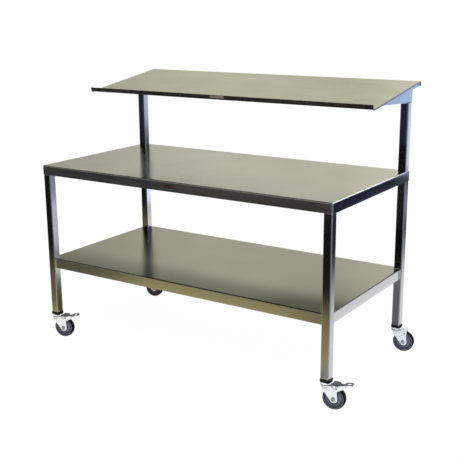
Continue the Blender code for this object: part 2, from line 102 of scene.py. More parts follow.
def noise(tree, vector, scale, detail, rough, stretch=(1, 1, 1), turn=(0, 0, 0)):
    mapping = node(tree, "Mapping", {"Vector": vector, "Scale": stretch, "Rotation": turn})
    inputs = {"Vector": mapping.outputs[0], "Scale": scale, "Detail": detail, "Roughness": rough}
    return node(tree, "TexNoise", inputs).outputs[0]


def new_material(name):
    mat = bpy.data.materials.new(name)
    mat.use_nodes = True
    tree = mat.node_tree
    shader = tree.nodes["Principled BSDF"]
    return mat, tree, shader, node(tree, "TexCoord").outputs["Object"]


def set_inputs(tree, shader, metallic, inputs):
    """Set a shader's inputs, each from a value or another node's output socket."""
    shader.inputs["Metallic"].default_value = metallic
    for key, value in inputs.items():
        if isinstance(value, bpy.types.NodeSocket):
            tree.links.new(value, shader.inputs[key])
        else:
            shader.inputs[key].default_value = value


def scratches(tree, place, seed_turn, density=0.70):
    """Thin sparse lines, 1 on a line and 0 elsewhere."""
    lines = noise(tree, place, 1.0, 2.0, 0.5, (4, 420, 420), seed_turn)
    return smooth_step(tree, lines, density, density + 0.03)


def tube_grain(tree, place, normal):
    """Grain, broad bands and tangent for tube, brushed along Z."""
    grain = noise(tree, place, 1.0, 4.0, 0.6, (900, 900, 9))
    bands = noise(tree, place, 1.0, 3.0, 0.5, (60, 60, 1.5))
    tangent = node(tree, "CombineXYZ", {0: normal[1], 1: product(tree, normal[0], -1.0)})
    return grain, bands, tangent.outputs[0]


def sheet_grain(tree, place, normal, on_end):
    """Grain, broad bands and tangent for sheet, brushed along X, and along Z on its ends."""
    flat = noise(tree, place, 1.0, 4.0, 0.6, (9, 900, 900))
    end = noise(tree, place, 1.0, 4.0, 0.6, (900, 900, 9))
    grain = node(tree, "Mix", {0: on_end, 2: flat, 3: end}).outputs[0]
    bands = noise(tree, place, 1.0, 3.0, 0.5, (1.6, 26, 26))
    across = node(tree, "CombineXYZ", {0: on_end, 1: normal[2], 2: product(tree, normal[1], -1.0)})
    side = node(tree, "CombineXYZ", {0: 0.0, 1: 1.0, 2: 0.0})
    tangent = node(tree, "Mix", {0: on_end, 4: across.outputs[0], 5: side.outputs[0]}, data_type="VECTOR")
    return grain, bands, tangent.outputs[1]


def painted_shelf_shade(tree, x, y, upward, painted_shade):
    """How much painted shade darkens each point: upward faces, most at the front and its right corner, and all
    folds.
    """
    front = smooth_step(tree, y, MIDDLE.y - 0.10, MIDDLE.y - 0.36, 1.0, 1.80)
    corner = product(tree, smooth_step(tree, x, MIDDLE.x + 0.25, MIDDLE.x + 0.70),
                     smooth_step(tree, y, MIDDLE.y + 0.20, MIDDLE.y - 0.34, 0.0, 0.60))
    shade_amount = calc(tree, "ADD", front, corner)
    faces = calc(tree, "MULTIPLY", smooth_step(tree, upward, 0.7, 0.95, 0.0, painted_shade), shade_amount, clamp=True)
    folds = product(tree, smooth_step(tree, upward, 0.15, 0.35),
                    smooth_step(tree, upward, 0.90, 0.97, 1.0, 0.0), min(1.0, 2.0 * painted_shade))
    return largest(tree, faces, folds)


def brushed_steel(name, tint, rough, spread, along_z=False, painted_shade=0.0, painted_end_tone=None, shade_from=None):
    """Brushed stainless, for sheet or, with along Z, for tube. Spread is how much the brushing draws
    reflections out. A painted shade, in the amount given, darkens the faces that point up and the folds. The end
    tone given is a painted reflection on faces square to X, and shade from is the Y beyond which those faces get
    painted shade."""
    mat, tree, shader, place = new_material(name)
    x, y = node(tree, "SeparateXYZ", {0: place}).outputs[:2]
    normal = node(tree, "SeparateXYZ", {0: node(tree, "NewGeometry").outputs["Normal"]}).outputs
    on_end = smooth_step(tree, calc(tree, "ABSOLUTE", normal[0]), 0.6, 0.8)
    if along_z:
        grain, bands, tangent = tube_grain(tree, place, normal)
    else:
        grain, bands, tangent = sheet_grain(tree, place, normal, on_end)
    smudge = noise(tree, place, 5.0, 4.0, 0.6)
    lines = largest(tree, scratches(tree, place, (0, 0, 0.5)), scratches(tree, place, (0.4, 0.3, -0.7), 0.72))
    tone = calc(tree, "MULTIPLY_ADD", bands, 0.08, 0.96)
    tone = calc(tree, "MULTIPLY_ADD", grain, 0.06, calc(tree, "SUBTRACT", tone, 0.03))
    colour = node(tree, "VectorMath", {0: tint, "Scale": tone}, operation="SCALE").outputs[0]
    # Painted shade: upward faces blend towards near black, most at the front and its right corner, and the folds
    # darken too
    if painted_shade:
        colour = blend_colour(tree, painted_shelf_shade(tree, x, y, normal[2], painted_shade), colour, (0.03, 0.028, 0.02))
    # Painted reflection: faces square to X take the end tone given, dark on the over-shelf's cut ends and
    # blue-grey on the brackets' plates
    if painted_end_tone:
        colour = blend_colour(tree, on_end, colour, painted_end_tone)
    # Painted shade: past shade from, faces square to X blend to dark navy
    if shade_from:
        shaded = product(tree, smooth_step(tree, y, shade_from, shade_from + 0.006, 0.0, 0.85), on_end)
        colour = blend_colour(tree, shaded, colour, (0.05, 0.10, 0.25))
    colour = blend_colour(tree, smooth_step(tree, smudge, 0.45, 0.75, 0.0, 0.10), colour, (0.50, 0.47, 0.40))
    roughness = calc(tree, "MULTIPLY_ADD", bands, 0.04, rough - 0.02)
    roughness = calc(tree, "MULTIPLY_ADD", smudge, 0.06, calc(tree, "SUBTRACT", roughness, 0.03))
    if not along_z:
        roughness = product(tree, roughness, smooth_step(tree, on_end, 0.0, 1.0, 1.0, 0.65))
        spread = smooth_step(tree, on_end, 0.0, 1.0, spread, 0.3)
    roughness = calc(tree, "MULTIPLY_ADD", lines, 0.04, roughness, clamp=True)
    bump = node(tree, "Bump", {"Height": grain, "Strength": 0.08, "Distance": 0.00002}).outputs[0]
    set_inputs(tree, shader, 1.0, {"Base Color": colour, "Roughness": roughness, "Normal": bump,
                                   "Tangent": tangent, "Anisotropic": spread})
    return mat


def zinc(name, tint, metallic, rough):
    """Bright zinc plate: fine spangle, patches that are slightly less blue, and dull scuffs."""
    mat, tree, shader, place = new_material(name)
    patches = noise(tree, place, 60.0, 4.0, 0.6)
    fine = noise(tree, place, 900.0, 3.0, 0.6)
    scuffs = scratches(tree, place, (0.5, 0.8, 0.3), 0.66)
    less_blue = (tint[0], tint[1], tint[2] * 0.95)
    colour = blend_colour(tree, smooth_step(tree, patches, 0.35, 0.7), tint, less_blue)
    colour = blend_colour(tree, product(tree, scuffs, 0.15), colour, (0.45, 0.45, 0.46))
    roughness = calc(tree, "MULTIPLY_ADD", patches, 0.25, rough - 0.12)
    bump = node(tree, "Bump", {"Height": fine, "Strength": 0.2, "Distance": 0.00005}).outputs[0]
    set_inputs(tree, shader, metallic, {"Base Color": colour, "Roughness": roughness, "Normal": bump})
    return mat


def moulded(name, colour, dusty, rough, grain_scale, grain_depth, metallic=0.0, gloss=0.5, rings=(),
            bare_below=None):
    """Moulded rubber or plastic, or dull coated metal: speckled grain, and dust in soft patches.
    Rings are (radius, half width) pale lavender rings about the object's Y, a painted highlight. Below bare below,
    upright faces are bare metal."""
    mat, tree, shader, place = new_material(name)
    x, _, z = node(tree, "SeparateXYZ", {0: place}).outputs
    patches = noise(tree, place, 35.0, 5.0, 0.65)
    fine = noise(tree, place, grain_scale, 4.0, 0.6)
    scuffs = scratches(tree, place, (0.2, 0.9, 0.6), 0.67)
    shade = blend_colour(tree, smooth_step(tree, patches, 0.45, 0.75), colour, dusty)
    shade = blend_colour(tree, product(tree, scuffs, 0.35), shade, dusty)
    flat = node(tree, "CombineXYZ", {0: x, 1: z}).outputs[0]
    radius = node(tree, "VectorMath", {0: flat}, operation="LENGTH").outputs["Value"]
    # Painted highlight: pale lavender rings where the tyre's grooves would catch the light
    for middle, half in rings:
        off = calc(tree, "ABSOLUTE", calc(tree, "SUBTRACT", radius, middle))
        ring = smooth_step(tree, off, half * 0.6, half, 1.0, 0.0)
        shade = blend_colour(tree, ring, shade, (0.24, 0.24, 0.33))
    if bare_below:
        upward = node(tree, "SeparateXYZ", {0: node(tree, "NewGeometry").outputs["Normal"]}).outputs[2]
        bare = product(tree, smooth_step(tree, calc(tree, "ABSOLUTE", upward), 0.3, 0.5, 1.0, 0.0),
                       smooth_step(tree, z, bare_below - 0.001, bare_below, 1.0, 0.0))
        shade = blend_colour(tree, bare, shade, (0.55, 0.56, 0.58))
    roughness = calc(tree, "MULTIPLY_ADD", patches, 0.2, rough - 0.1)
    bump = node(tree, "Bump", {"Height": fine, "Strength": 0.4, "Distance": grain_depth}).outputs[0]
    set_inputs(tree, shader, metallic, {"Base Color": shade, "Roughness": roughness, "Normal": bump,
                                        "Specular IOR Level": gloss})
    return mat


# Y past which the brackets' plates get painted shade
BRACKET_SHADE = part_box("over_shelf_bracket_right")[1].y - 0.026
LEVER_BARE_BELOW = 0.1080

SHEET = brushed_steel("brushed_sheet", (0.57, 0.57, 0.56), 0.145, 1.0)
# The lower shelf: the sheet with painted shade on its top and folds
SHELF = brushed_steel("dull_sheet_painted_shade", (0.71, 0.70, 0.69), 0.155, 1.0, painted_shade=0.46)
# The over-shelf: its cut ends get a painted dark reflection
EDGED = brushed_steel("sheet_painted_dark_ends", (0.57, 0.57, 0.56), 0.145, 1.0, painted_end_tone=(0.10, 0.11, 0.15))
# The brackets: their bluish tint and blue-grey plates are painted reflection of cool light, and the plates' rear
# strip gets painted shade
BRACKET = brushed_steel("bracket_sheet_painted_tones", (0.60, 0.64, 0.68), 0.145, 1.0, painted_end_tone=(0.32, 0.41, 0.47),
                        shade_from=BRACKET_SHADE)
TUBE = brushed_steel("polished_tube", (0.60, 0.60, 0.61), 0.12, 0.30, along_z=True)
ZINC = zinc("bright_zinc", (0.95, 0.96, 0.99), 0.20, 0.42)
BOLT = zinc("bolt_zinc", (0.55, 0.55, 0.55), 1.0, 0.35)
WELD = zinc("weld_bead", (0.70, 0.70, 0.70), 0.7, 0.32)
NYLON = moulded("black_nylon", (0.003, 0.003, 0.004), (0.008, 0.008, 0.008), 0.42, 1500.0, 0.00003,
                gloss=0.25)
# The tyre's rings are painted highlights at its grooves
RUBBER = moulded("black_rubber", (0.003, 0.003, 0.005), (0.008, 0.008, 0.010), 0.62, 1100.0, 0.00006,
                 gloss=0.15, rings=((0.0350, 0.0010), (0.0415, 0.0012)))
HUB = moulded("grey_hub", (0.13, 0.13, 0.19), (0.20, 0.20, 0.27), 0.45, 1300.0, 0.00003)
LEVER = moulded("dark_lever", (0.06, 0.06, 0.07), (0.12, 0.12, 0.12), 0.30, 1300.0, 0.00003, 0.2, gloss=0.2,
                bare_below=LEVER_BARE_BELOW)
PLATE = moulded("blank_plate", (0.030, 0.008, 0.008), (0.05, 0.02, 0.015), 0.35, 1600.0, 0.00002)
TAN_PLATE = moulded("tan_plate", (0.22, 0.14, 0.10), (0.28, 0.20, 0.15), 0.35, 1600.0, 0.00002)

FINISH = {
    "stainless_sheet": SHEET,
    "stainless_tube": TUBE,
    "zinc_plate": ZINC,
    "dark_steel": LEVER,
    "black_plastic": NYLON,
    "grey_plastic": HUB,
    "black_rubber": RUBBER,
}


# CAD nodes: new finish, welded and smooth-shaded by angle, with a small edge radius on plate

def shade_by_angle():
    """Geometry nodes that shade a mesh smooth except across sharp edges."""
    group = bpy.data.node_groups.new("shade_by_angle", "GeometryNodeTree")
    group.interface.new_socket("Geometry", in_out="INPUT", socket_type="NodeSocketGeometry")
    group.interface.new_socket("Geometry", in_out="OUTPUT", socket_type="NodeSocketGeometry")
    start = group.nodes.new("NodeGroupInput")
    end = group.nodes.new("NodeGroupOutput")
    faces = group.nodes.new("GeometryNodeSetShadeSmooth")
    edges = group.nodes.new("GeometryNodeSetShadeSmooth")
    edges.domain = "EDGE"
    angle = group.nodes.new("GeometryNodeInputMeshEdgeAngle")
    soft = group.nodes.new("FunctionNodeCompare")
    soft.operation = "LESS_THAN"
    soft.inputs["B"].default_value = math.radians(32)
    group.links.new(angle.outputs["Unsigned Angle"], soft.inputs["A"])
    group.links.new(soft.outputs[0], edges.inputs["Shade Smooth"])
    group.links.new(start.outputs[0], faces.inputs[0])
    group.links.new(faces.outputs[0], edges.inputs[0])
    group.links.new(edges.outputs[0], end.inputs[0])
    return group


SHADE = shade_by_angle()
EDGE_RADIUS = {"fork": 0.0005, "over_shelf_bracket": 0.0006, "brake_lever": 0.0005, "brake_shoe": 0.0005,
               "socket": 0.0006, "bearing_cup": 0.0004, "brake_pin": 0.0004, "over_shelf": 0.0003}


def dress(name, obj, finish):
    """Give a CAD node its finish, smooth shading, and the edge radius of its kind."""
    mesh = obj.data
    if "custom_normal" in mesh.attributes:
        mesh.attributes.remove(mesh.attributes["custom_normal"])
    mesh.materials.clear()
    mesh.materials.append(finish)
    weld = obj.modifiers.new("weld", "WELD")
    weld.merge_threshold = 0.00001
    kind = max((k for k in EDGE_RADIUS if name.startswith(k)), key=len, default=None)
    if kind and not name.startswith("over_shelf_stiffener"):
        bevel = obj.modifiers.new("edge", "BEVEL")
        bevel.width = EDGE_RADIUS[kind]
        bevel.segments = 2
        bevel.limit_method = "ANGLE"
        bevel.angle_limit = math.radians(50)
    obj.modifiers.new("shade", "NODES").node_group = SHADE
    weighted = obj.modifiers.new("flat_faces", "WEIGHTED_NORMAL")
    weighted.weight = 100
    weighted.keep_sharp = True


for part in frame["record"]["subparts"]:
    dress(part["node"], NODES[part["node"]], FINISH[part["material_slot"]])
NODES["lower_shelf"].data.materials[0] = SHELF
NODES["over_shelf"].data.materials[0] = EDGED
for side in ("left", "right"):
    NODES[f"over_shelf_bracket_{side}"].data.materials[0] = BRACKET


# New pieces

TYRE_RADIUS = 0.0485
TYRE_BORE = 0.0318
TYRE_HALF_WIDTH = 0.013
TYRE_GROOVES = (0.0355, 0.0430)
HUB_RADIUS = 0.0315
HUB_BORE = 0.0053
HUB_BOSS = 0.0145
HUB_RIM = 0.0110
FORK_FACE = 0.0182


def piece(name, bm, finish, body, matrix=Matrix.Identity(4), smooth_angle=32):
    """Make a bmesh into an object that rides on a body."""
    bmesh.ops.remove_doubles(bm, verts=bm.verts, dist=1e-6)
    bmesh.ops.recalc_face_normals(bm, faces=bm.faces)
    mesh = bpy.data.meshes.new(name)
    bm.to_mesh(mesh)
    bm.free()
    mesh.shade_smooth()
    mesh.set_sharp_from_angle(angle=math.radians(smooth_angle))
    mesh.materials.append(finish)
    obj = bpy.data.objects.new(name, mesh)
    bpy.context.scene.collection.objects.link(obj)
    obj.matrix_world = matrix
    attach(obj, body)
    return obj


def lathe(profile, steps, closed):
    """A bmesh turned about Y from (radius, y) points. A closed profile makes a ring."""
    bm = bmesh.new()
    verts = [bm.verts.new((radius, y, 0)) for radius, y in profile]
    pairs = list(zip(verts, verts[1:])) + ([(verts[-1], verts[0])] if closed else [])
    edges = [bm.edges.new(pair) for pair in pairs]
    bmesh.ops.spin(bm, geom=verts + edges, cent=(0, 0, 0), axis=(0, 1, 0), angle=2 * math.pi, steps=steps,
                   use_merge=True)
    return bm


def mirrored(half):
    """A (radius, y) profile's half, followed by its mirror image across y = 0."""
    return half + [(radius, -y) for radius, y in reversed(half)]


def prism(bm, sides, radius, low, high, chamfer):
    """A chamfered prism along Y, added to a bmesh."""
    rings = []
    levels = ((radius - chamfer, low), (radius, low + chamfer * 0.6), (radius, high - chamfer * 0.6),
              (radius - chamfer, high))
    for size, y in levels:
        angles = [2 * math.pi * (k + 0.5) / sides for k in range(sides)]
        rings.append([bm.verts.new((size * math.cos(a), y, size * math.sin(a))) for a in angles])
    for first, second in zip(rings, rings[1:]):
        for k in range(sides):
            bm.faces.new((first[k - 1], first[k], second[k], second[k - 1]))
    bm.faces.new(rings[0])
    bm.faces.new(reversed(rings[-1]))


def tyre_profile(bore, radius, half):
    """A tyre's outline, with two shallow ring grooves in each side."""
    side = [(bore, half - 0.002), (bore + 0.0014, half)]
    for ring in TYRE_GROOVES:
        side += [(ring, half), (ring + 0.0003, half - 0.0008), (ring + 0.0012, half - 0.0008),
                 (ring + 0.0015, half)]
    side += [(radius - 0.0028, half - 0.0006), (radius - 0.0012, half - 0.0020),
             (radius - 0.0004, half - 0.0042), (radius - 0.0001, half - 0.0070), (radius, 0.0012),
             (radius - 0.0003, 0.0004)]
    return mirrored(side)


def hub_profile(bore, radius, boss, rim):
    """A hub's outline: a boss and a rim, of those half widths, joined by a thinner web with a ring."""
    web = rim - 0.0030
    side = [(bore, boss), (0.0098, boss), (0.0106, boss - 0.0008), (0.0112, web), (0.0180, web),
            (0.0186, web + 0.0012), (0.0206, web + 0.0012), (0.0212, web), (0.0260, web), (0.0272, rim),
            (radius - 0.0006, rim), (radius, rim - 0.0006)]
    return mirrored(side)


def ribs(bm, count, inner, outer, half, thickness):
    """Low radial ribs on both faces of a hub's web, rooted inside it."""
    for k in range(count):
        turn = Matrix.Rotation(2 * math.pi * k / count, 4, "Y")
        made = bmesh.ops.create_cube(bm, size=1)["verts"]
        bmesh.ops.scale(bm, vec=(outer - inner, 2 * half, thickness), verts=made)
        bmesh.ops.translate(bm, vec=((outer + inner) / 2, 0, 0), verts=made)
        bmesh.ops.transform(bm, matrix=turn, verts=made)


def wheel_matrix(corner):
    """The wheel's middle, turned so that its axle lies along Y."""
    joint = JOINTS[f"{corner}_roll"]
    axis = Vector(joint["axis"])
    turn = math.atan2(-axis.x, axis.y)
    return Matrix.Translation(joint["pos_m"]) @ Matrix.Rotation(turn, 4, "Z")


def build_wheel(corner):
    place = wheel_matrix(corner)
    body = f"wheel_{corner}"
    outline = tyre_profile(TYRE_BORE, TYRE_RADIUS, TYRE_HALF_WIDTH)
    tyre = piece(f"moulded_tyre_{corner}", lathe(outline, 72, True), RUBBER, body, place)
    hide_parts(f"tyre_{corner}")
    outline = hub_profile(HUB_BORE, HUB_RADIUS, HUB_BOSS, HUB_RIM)
    hub = piece(f"moulded_hub_{corner}", lathe(outline, 60, True), HUB, body, place)
    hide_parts(f"hub_{corner}")
    bm = bmesh.new()
    ribs(bm, count=8, inner=0.0104, outer=0.0270, half=0.0092, thickness=0.0016)
    piece(f"hub_ribs_{corner}", bm, HUB, body, place)


def build_axle(corner):
    """A hex bolt with a washer at each end and a locking nut on the inner side."""
    place = wheel_matrix(corner)
    body = f"swivel_{corner}"
    outward = -1 if corner.startswith("front") else 1
    face = FORK_FACE
    bm = lathe(mirrored([(0, face + 0.0006), (0.0048, face + 0.0006), (0.0048, 0)]), 32, False)
    shank = piece(f"axle_shank_{corner}", bm, BOLT, body, place)
    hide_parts(f"axle_{corner}")
    for end, side in (("head", outward), ("nut", -outward)):
        flip = place @ Matrix.Rotation(math.pi if side < 0 else 0, 4, "X")
        washer = lathe([(0.0051, face), (0.0088, face), (0.0088, face + 0.0007), (0.0085, face + 0.0010),
                        (0.0051, face + 0.0010)], 40, True)
        piece(f"axle_washer_{end}_{corner}", washer, BOLT, body, flip)
        bm = bmesh.new()
        prism(bm, 6, 0.0078, face + 0.0010, face + 0.0052, 0.0007)
        if end == "nut":
            prism(bm, 24, 0.0058, face + 0.0046, face + 0.0066, 0.0005)
        piece(f"axle_{end}_{corner}", bm, BOLT, body, flip)


def bead(name, points, radius, closed=False):
    """A weld bead along a path: a rippled round, slightly uneven, with closed ends."""
    rng = random.Random(name)
    points = [Vector(p) for p in points]
    spans = list(zip(points, points[1:] + points[:1]))
    if not closed:
        spans = spans[:-1]
    path = []
    for start, end in spans:
        count = max(1, round((end - start).length / 0.0006))
        path += [start.lerp(end, k / count) for k in range(count)]
    if not closed:
        path.append(points[-1])
    bm = bmesh.new()
    rings = []
    for i, here in enumerate(path):
        ahead = path[(i + 1) % len(path)] if closed or i + 1 < len(path) else here
        behind = path[i - 1] if closed or i else here
        along = (ahead - behind).normalized()
        first = along.cross(Vector((0.31, 0.53, 0.79))).normalized()
        second = along.cross(first)
        ripple = 0.80 + 0.20 * abs(math.sin(i * math.pi / 4)) + rng.uniform(-0.03, 0.03)
        if not closed:
            ripple *= min(1.0, 0.35 + min(i, len(path) - 1 - i) / 5)
        angles = [2 * math.pi * k / 8 for k in range(8)]
        rings.append([bm.verts.new(here + (first * math.cos(a) + second * math.sin(a)) * radius * ripple)
                      for a in angles])
    for i in range(len(rings) if closed else len(rings) - 1):
        ring, after = rings[i], rings[(i + 1) % len(rings)]
        for k in range(8):
            bm.faces.new((ring[k - 1], ring[k], after[k], after[k - 1]))
    if not closed:
        bm.faces.new(rings[0])
        bm.faces.new(reversed(rings[-1]))
    piece(name, bm, WELD, "frame", smooth_angle=60)


def ring_path(low, high, z):
    """A square path around a box's four sides, with cut corners."""
    cut = 0.0035
    x0, x1, y0, y1 = low.x, high.x, low.y, high.y
    return [(x0 + cut, y0, z), (x1 - cut, y0, z), (x1, y0 + cut, z), (x1, y1 - cut, z), (x1 - cut, y1, z),
            (x0 + cut, y1, z), (x0, y1 - cut, z), (x0, y0 + cut, z)]


def build_leg_welds(corner):
    """Beads where a leg meets its pad, the worktop's apron and the lower shelf."""
    low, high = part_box(f"leg_{corner}")
    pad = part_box(f"leg_pad_{corner}")[0].z
    bead(f"weld_pad_{corner}", ring_path(low, high, pad - 0.0005), 0.0016, closed=True)
    sx = 1 if "right" in corner else -1
    sy = 1 if "rear" in corner else -1
    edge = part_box("worktop")[0].z
    outer_x, inner_x = (high.x, low.x) if sx > 0 else (low.x, high.x)
    outer_y, inner_y = (high.y, low.y) if sy > 0 else (low.y, high.y)
    z = edge + 0.0002
    bead(f"weld_apron_{corner}", [
        (inner_x + sx * 0.004, outer_y + sy * 0.0006, z), (outer_x - sx * 0.003, outer_y + sy * 0.0006, z),
        (outer_x + sx * 0.0006, outer_y - sy * 0.003, z), (outer_x + sx * 0.0006, inner_y + sy * 0.004, z)],
        0.0013)
    shelf_low, shelf_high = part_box("lower_shelf")
    rail_x = shelf_high.x if sx > 0 else shelf_low.x
    rail_y = shelf_high.y if sy > 0 else shelf_low.y
    top, bottom = shelf_high.z, shelf_low.z
    bead(f"weld_shelf_{corner}", [
        (inner_x, rail_y, bottom + 0.002), (inner_x, rail_y, top - 0.005),
        (inner_x, rail_y - sy * 0.004, top), (inner_x, inner_y, top), (rail_x - sx * 0.004, inner_y, top),
        (rail_x, inner_y, top - 0.005), (rail_x, inner_y, bottom + 0.002)], 0.0011)


def build_frame_welds():
    """The legs' beads, the uprights' foot and top beads, and stitches along the stiffeners."""
    for corner in CORNERS:
        build_leg_welds(corner)
    for side in ("left", "right"):
        low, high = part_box(f"upright_{side}")
        bead(f"weld_foot_{side}", ring_path(low, high, low.z + 0.0004), 0.0013, closed=True)
        bead(f"weld_top_{side}", ring_path(low, high, high.z - 0.0002), 0.0009, closed=True)
    for name in ("worktop_stiffener_front", "worktop_stiffener_rear", "lower_shelf_stiffener"):
        low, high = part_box(name)
        for k in range(6):
            x = low.x + (high.x - low.x) * (k + 0.5) / 6
            for edge, y in (("a", low.y), ("b", high.y)):
                ends = [(x - 0.011, y, high.z - 0.0006), (x + 0.011, y, high.z - 0.0006)]
                bead(f"stitch_{name}_{k}{edge}", ends, 0.0012)


def build_blank_plate(name, centre, width, height, tilt, finish):
    """A thin blank plate with rounded corners and a rivet at each end, facing -Y."""
    place = Matrix.Translation(centre) @ Matrix.Rotation(tilt, 4, "X")
    bm = bmesh.new()
    radius = 0.002
    rings = []
    for y, inset in ((0, 0), (-0.0005, 0), (-0.0007, 0.0002)):
        ring = []
        for sx, sz, start in ((1, 1, 0), (-1, 1, 90), (-1, -1, 180), (1, -1, 270)):
            for k in range(4):
                a = math.radians(start + 30 * k)
                x = sx * (width / 2 - radius) + (radius - inset) * math.cos(a)
                z = sz * (height / 2 - radius) + (radius - inset) * math.sin(a)
                ring.append(bm.verts.new((x, y, z)))
        rings.append(ring)
    for first, second in zip(rings, rings[1:]):
        for k in range(len(first)):
            bm.faces.new((first[k - 1], first[k], second[k], second[k - 1]))
    bm.faces.new(rings[0])
    bm.faces.new(reversed(rings[-1]))
    piece(name, bm, finish, "frame", place)
    for side in (-1, 1):
        dome = [(0, -0.0014), (0.0008, -0.0013), (0.0013, -0.0009), (0.0014, -0.0005), (0, -0.0005)]
        rivet = lathe(dome, 20, False)
        spot = place @ Matrix.Translation((side * (width / 2 - 0.003), 0, 0))
        piece(f"{name}_rivet_{'left' if side < 0 else 'right'}", rivet, BOLT, "frame", spot)


for corner in CORNERS:
    build_wheel(corner)
    build_axle(corner)
build_frame_welds()

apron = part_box("worktop")[0]
apron_place = (MIDDLE.x - 0.015, apron.y, apron.z + 0.0235)
build_blank_plate("blank_plate_apron", apron_place, 0.064, 0.012, 0, PLATE)
slope = Vector(next(m["axis"] for m in frame["record"]["mounts"] if m["name"] == "over_shelf_surface"))
tilt = math.atan2(-slope.y, slope.z)
LIP_MIDDLE_Z = 1.1835
lip_place = (MIDDLE.x - 0.007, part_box("over_shelf")[0].y + 0.0016, LIP_MIDDLE_Z)
build_blank_plate("blank_plate_lip", lip_place, 0.074, 0.011, tilt, TAN_PLATE)


# Studio

FLOOR_GLOW_WARM = (0.70, 0.62, 0.28)
FLOOR_GLOW_COOL = (0.92, 0.93, 0.96)
SKY_WARM = (0.78, 0.77, 0.58)
SKY_COOL = (0.90, 0.95, 1.15)
SKY_LOW = (0.82, 0.84, 0.86)
WINDOW_BLUE = (0.62, 0.70, 0.90)
FLOOR_GLOW_PLAIN = (0.40, 0.41, 0.43)
FLOOR_HALF = 40
OTHER_VIEWS_SKY = 0.85
DARKEST_SKY = 0.004


def sky_behind_camera_view(tree, x, y, z):
    """Strength of the sky that the steel mirrors to the scene's own camera: a wall behind the object
    that fades to dark at its right and overhead, a window at the far right, and a bright strip that
    only the worktop's right fold picks up."""
    behind = product(tree, smooth_step(tree, y, 0.20, 0.55), smooth_step(tree, x, 0.15, 0.35, 1.0, 0.04),
                     smooth_step(tree, x, -0.72, -0.54, 0.70, 1.0),
                     smooth_step(tree, x, -0.43, -0.36, 1.0, 1.22))
    window = product(tree, smooth_step(tree, x, 0.64, 0.68), smooth_step(tree, y, 0.35, 0.50),
                     smooth_step(tree, z, 0.08, 0.16, 0.0, 2.0))
    wall = product(tree, smooth_step(tree, z, 0.0, 0.40, 0.80, 1.0),
                   smooth_step(tree, z, 0.46, 0.62, 1.0, 0.02), largest(tree, behind, window))
    strip = product(tree, smooth_step(tree, x, -0.10, 0.0), smooth_step(tree, x, 0.25, 0.33, 1.0, 0.0),
                    smooth_step(tree, y, 0.5, 0.7, 0.0, 5.0), smooth_step(tree, z, 0.34, 0.40),
                    smooth_step(tree, z, 0.50, 0.55, 1.0, 0.0))
    return largest(tree, wall, strip)


def sky_of_other_views(tree, x, y, z):
    """1 in the directions that the steel mirrors, at the first bounce, to other viewpoints only."""
    sides = largest(tree, smooth_step(tree, x, -0.80, -0.88), smooth_step(tree, x, 0.55, 0.62))
    front = product(tree, smooth_step(tree, y, 0.10, -0.05), smooth_step(tree, x, -0.22, -0.10))
    front_left = product(tree, smooth_step(tree, y, -0.55, -0.65), smooth_step(tree, z, 0.45, 0.35))
    overhead = product(tree, smooth_step(tree, z, 0.62, 0.70), smooth_step(tree, x, -0.22, -0.10))
    around = largest(tree, sides, front, front_left, overhead, smooth_step(tree, z, 0.90, 0.95))
    # Where a ray meets the sky, Ray Depth is 2 after one bounce and 3 after two
    once = calc(tree, "LESS_THAN", node(tree, "LightPath").outputs["Ray Depth"], 2.5)
    return product(tree, around, once)


def build_world():
    """White behind the object. The steel mirrors a pale room, warm at the left and cool at the right."""
    world = bpy.data.worlds.new("studio")
    bpy.context.scene.world = world
    world.use_nodes = True
    tree = world.node_tree
    x, y, z = node(tree, "SeparateXYZ", {0: node(tree, "TexCoord").outputs["Generated"]}).outputs
    colour = blend_colour(tree, smooth_step(tree, x, -0.45, 0.15), SKY_WARM, SKY_COOL)
    colour = blend_colour(tree, smooth_step(tree, z, 0.20, 0.14, 0.0, 0.7), colour, SKY_LOW)
    strength = sky_behind_camera_view(tree, x, y, z)
    around = sky_of_other_views(tree, x, y, z)
    strength = node(tree, "Mix", {0: around, 2: strength, 3: OTHER_VIEWS_SKY}).outputs[0]
    strength = calc(tree, "ADD", strength, DARKEST_SKY)
    mirrored_sky = node(tree, "Background", {"Color": colour, "Strength": strength})
    seen_sky = node(tree, "Background", {"Color": (1, 1, 1, 1), "Strength": 1.0})
    camera = node(tree, "LightPath").outputs["Is Camera Ray"]
    mixed = node(tree, "MixShader", {0: camera, 1: mirrored_sky.outputs[0], 2: seen_sky.outputs[0]})
    tree.links.new(mixed.outputs[0], tree.nodes["World Output"].inputs[0])


def lit_floor(tree, x, y, cool, inner, under):
    """Strength of the floor near the object: warm and cool stretches that fade out with distance, and
    a shadow under the table. Inner is the stretch that only the rear legs' fronts mirror."""
    flat = node(tree, "CombineXYZ", {0: x, 1: y}).outputs[0]
    reach = node(tree, "VectorMath", {0: flat}, operation="LENGTH").outputs["Value"]
    warm = product(tree, smooth_step(tree, x, -1.25, -0.80, 0.25, 1.0),
                   smooth_step(tree, x, -0.05, 0.40, 1.0, 0.50), smooth_step(tree, y, -1.75, -0.90),
                   smooth_step(tree, reach, 2.0, 2.8, 1.0, 0.0))
    bluish = product(tree, smooth_step(tree, x, 1.0, 1.75, 1.0, 0.0),
                     smooth_step(tree, y, 1.7, 2.3, 1.0, 0.0))
    near = node(tree, "Mix", {0: cool, 2: warm, 3: bluish}).outputs[0]
    near = product(tree, near, calc(tree, "MULTIPLY_ADD", under, -0.85, 1.0))
    return node(tree, "Mix", {0: inner, 2: near, 3: 0.16}).outputs[0]


